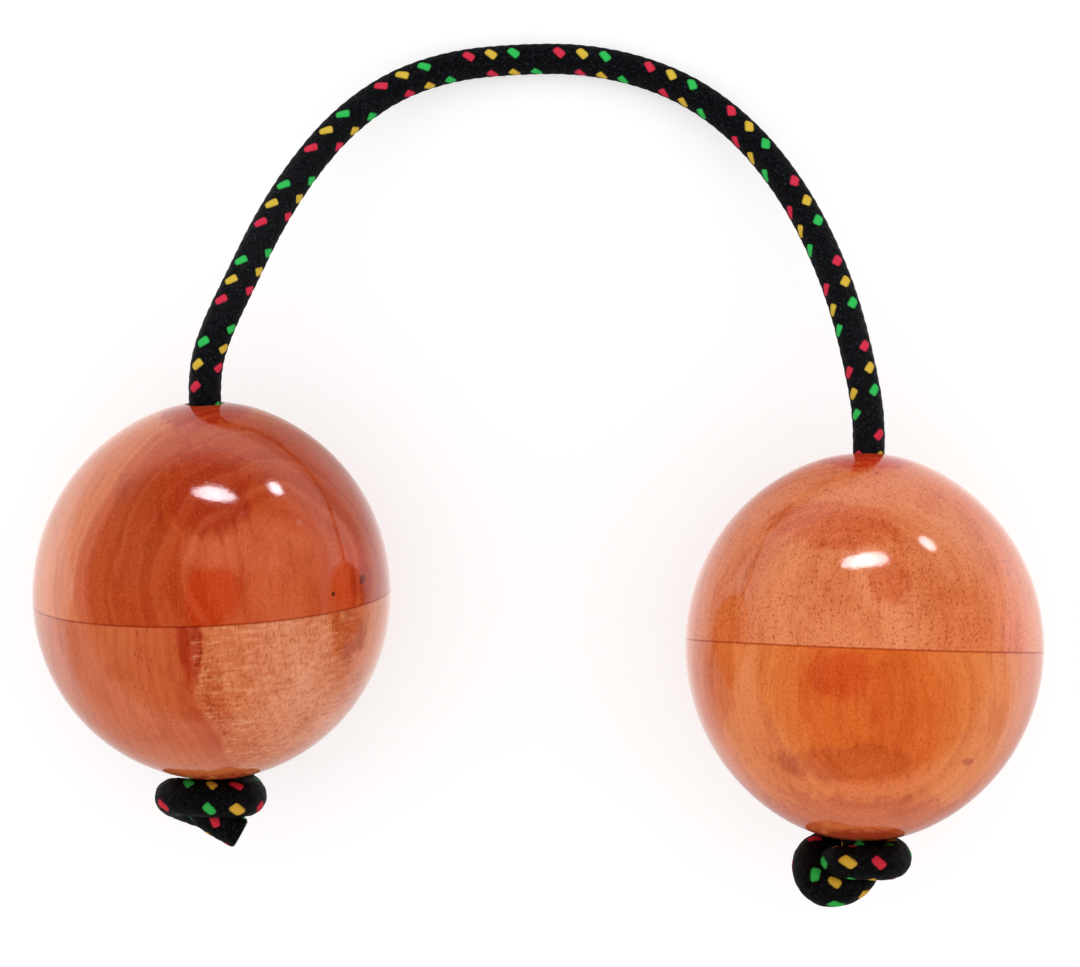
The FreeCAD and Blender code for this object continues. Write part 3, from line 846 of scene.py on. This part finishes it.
def seed_mesh(centre, draw):
    """One slightly flattened seed with a soft dent at its scar, inside its round seat."""
    radius = sizes().seeds.diameter / 2
    turn = Matrix.Rotation(draw.uniform(0, 2 * math.pi), 4, Vector((
        draw.uniform(-1, 1), draw.uniform(-1, 1), draw.uniform(0.2, 1))).normalized())
    flat = Matrix.Diagonal((1, draw.uniform(0.88, 0.96), draw.uniform(0.80, 0.92), 1))
    mesh = bmesh.new()
    bmesh.ops.create_icosphere(mesh, subdivisions=4, radius=radius * 0.98)
    shift = Vector((draw.uniform(0, 50),) * 3)
    for vertex in mesh.verts:
        way = vertex.co.normalized()
        ripple = noise.noise(way * 2.2 + shift) * 0.05 + noise.noise(way * 7 + shift) * 0.012
        scar = 0.10 * math.exp(-((way - Vector((1, 0, 0))).length / 0.35) ** 2)
        vertex.co *= 1 - 0.045 + ripple * 0.7 - scar
    bmesh.ops.transform(mesh, matrix=Matrix.Translation(centre) @ turn @ flat, verts=mesh.verts)
    for face in mesh.faces:
        face.smooth = True
    return mesh


def mirrored_floor(tree):
    """How brightly gloss mirrors the floor.

    This glow is seen only by gloss and paints the balls' reflections: dark on the knots' side and inside
    the cord's loop, and bright beside and between the balls.
    """
    aside, away, _ = tree.split(tree.add("ShaderNodeTexCoord").outputs["Object"])
    across, ahead = aside / LOOP_RADIUS, (away - LOOP_PLACE) / LOOP_RADIUS
    in_loop = (across * across + ahead * ahead).root().blend(0.8, 1.4, 0.05, 1.0)
    beside = aside.size().blend(0.09, 0.15) + aside.size().blend(0.030, 0.010) * 0.4
    beside = beside * away.size().blend(0.08, 0.04)
    return away.blend(-0.07, 0.03, 0.05, 1.0) * in_loop + beside


def lamp(name, target, toward, width, height, brightness):
    """A small soft lamp that gives one ball its highlight and leaves the rest to the even light."""
    data = bpy.data.lights.new(name, "AREA")
    data.shape, data.size, data.size_y = "ELLIPSE", width, height
    half = LAMP_HALF_SPREAD
    data.spread = 2 * half
    data.color = LAMP_TINT
    data.energy = math.pi * math.pi / 4 * width * height * brightness * (1 - half / math.tan(half))
    thing = bpy.data.objects.new(name, data)
    bpy.context.scene.collection.objects.link(thing)
    way = Vector(toward).normalized()
    thing.location = target + way * LAMP_DISTANCE
    thing.rotation_euler = way.to_track_quat("Z", "Y").to_euler()
    thing.visible_diffuse = False
    thing.visible_camera = False


class SHAKER_OT_stage(bpy.types.Operator):
    """Lays the white floor and sets the world, the lamps and the camera"""
    bl_idname = "shaker.stage"
    bl_label = "Stage"

    def execute(self, context):
        looks = sizes().stage
        mesh = bmesh.new()
        bmesh.ops.create_grid(mesh, x_segments=2, y_segments=2, size=4)
        data = bpy.data.meshes.new("floor")
        mesh.to_mesh(data)
        mesh.free()
        floor = bpy.data.objects.new("floor", data)
        context.scene.collection.objects.link(floor)
        material, tree = new_material("white_floor")
        path = tree.add("ShaderNodeLightPath")
        seen = tree.field(path.outputs["Is Camera Ray"]) + tree.field(path.outputs["Is Transmission Ray"])
        mirrored = tree.field(path.outputs["Is Glossy Ray"]) * mirrored_floor(tree)
        paint = tree.add("ShaderNodeBsdfDiffuse", inputs={"Color": (looks.floor_shade,) * 3 + (1,)})
        glow = tree.add("ShaderNodeEmission", inputs={
            "Strength": seen * looks.floor_white + mirrored * looks.floor_mirrored})
        both = tree.add("ShaderNodeAddShader", inputs={0: paint.outputs[0], 1: glow.outputs[0]})
        tree.add("ShaderNodeOutputMaterial", inputs={"Surface": both.outputs[0]})
        data.materials.append(material)

        world = bpy.data.worlds.new("studio")
        context.scene.world = world
        tree = Tree(world)
        _, _, up = tree.split(tree.add("ShaderNodeTexCoord").outputs["Generated"])
        mirrored = tree.field(tree.add("ShaderNodeLightPath").outputs["Is Glossy Ray"])
        sky = up.blend(0.0, 0.30, looks.horizon, looks.zenith)
        light = mirrored * sky + (1 - mirrored) * looks.ambient
        back = tree.add("ShaderNodeBackground", inputs={"Strength": light})
        tree.add("ShaderNodeOutputWorld", inputs={"Surface": back.outputs[0]})

        for name, (side, toward, width, height, share) in LAMPS.items():
            lamp(name, Ball(side).centre, toward, width, height, looks.lamp_radiance * share)

        view = bpy.data.cameras.new("camera")
        view.sensor_width, view.sensor_fit, view.lens = 36, "HORIZONTAL", CAMERA_LENS
        camera = bpy.data.objects.new("camera", view)
        camera.location = CAMERA_PLACE
        context.scene.collection.objects.link(camera)
        context.scene.camera = camera
        context.scene.view_settings.view_transform = "Standard"
        return {"FINISHED"}


class SHAKER_OT_balls(bpy.types.Operator):
    """Turns the two half shells of each ball and varnishes them"""
    bl_idname = "shaker.balls"
    bl_label = "Turned balls"

    def execute(self, context):
        for side in ("left", "right"):
            ball = Ball(side)
            for half, has_spigot in (("upper", True), ("lower", False)):
                name = side + "_" + half
                half_shell(ball, name, has_spigot, varnished_wood(ball, name, BLANKS[name]))
        return {"FINISHED"}


class SHAKER_OT_cord(bpy.types.Operator):
    """Braids the cord along its route and ties the knot under each ball"""
    bl_idname = "shaker.cord"
    bl_label = "Cord and knots"

    def execute(self, context):
        cord = sizes().cord
        left, right = Ball("left"), Ball("right")
        material = braided_cord()
        line = smooth_line(cord_corners(left, right))
        crown = min(range(len(line)), key=lambda i: (line[i] - Vector(CROWN)).length)
        known = path_length(line[:crown + 1]) / path_length(line)
        mesh, path = braided_tube(line, cord.diameter, known, CROWN_TURNS, cord.roll)
        piece = add_piece("braid", mesh, material, "braided_cord", "cord")
        for ball in (left, right):
            corners, backwards, turns, roll = KNOTS[ball.side]
            line = smooth_line(knot_corners(ball, corners))
            mesh, _ = braided_tube(line, cord.knot_strand, 0.5, turns, roll, backwards, cut=True,
                                   swell=cord.knot_swell)
            node = ball.side + "_knot"
            add_piece("tied_" + node, mesh, material, "braided_cord", node)
        tuple(left.point(0, -left.lower_height, 0))
        path_length(path)
        return {"FINISHED"}


class SHAKER_OT_seeds(bpy.types.Operator):
    """Puts the loose seeds where they settle in each ball"""
    bl_idname = "shaker.seeds"
    bl_label = "Seeds"

    def execute(self, context):
        draw = random.Random(7)
        material = seed_material()
        for node in sorted(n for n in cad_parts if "_seed_" in n):
            low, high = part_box(node)
            mesh = seed_mesh((low + high) / 2, draw)
            add_piece("dried_" + node, mesh, material, "dried_seed", node)
        return {"FINISHED"}


STEPS = (SHAKER_OT_stage, SHAKER_OT_balls, SHAKER_OT_cord, SHAKER_OT_seeds)


class ShakerSizes(bpy.types.PropertyGroup):
    """Everything about the pair that a user would change"""
    balls: PointerProperty(type=BallSizes)
    cord: PointerProperty(type=CordSizes)
    seeds: PointerProperty(type=SeedSizes)
    stage: PointerProperty(type=StageLooks)


class SHAKER_PT_panel(bpy.types.Panel):
    """The steps that build the pair"""
    bl_label = "Hand Shaker Pair"
    bl_space_type = "VIEW_3D"
    bl_region_type = "UI"
    bl_category = "Shakers"

    def draw(self, context):
        for step in STEPS:
            self.layout.operator(step.bl_idname)


CLASSES = (BallSizes, CordSizes, SeedSizes, StageLooks, ShakerSizes, *STEPS, SHAKER_PT_panel)


def register():
    for item in CLASSES:
        bpy.utils.register_class(item)
    bpy.types.Scene.shaker_sizes = PointerProperty(type=ShakerSizes)


def unregister():
    del bpy.types.Scene.shaker_sizes
    for item in reversed(CLASSES):
        bpy.utils.unregister_class(item)


def main():
    register()
    bpy.ops.shaker.stage()
    bpy.ops.shaker.balls()
    bpy.ops.shaker.cord()
    bpy.ops.shaker.seeds()


if __name__ == "__main__":
    main()
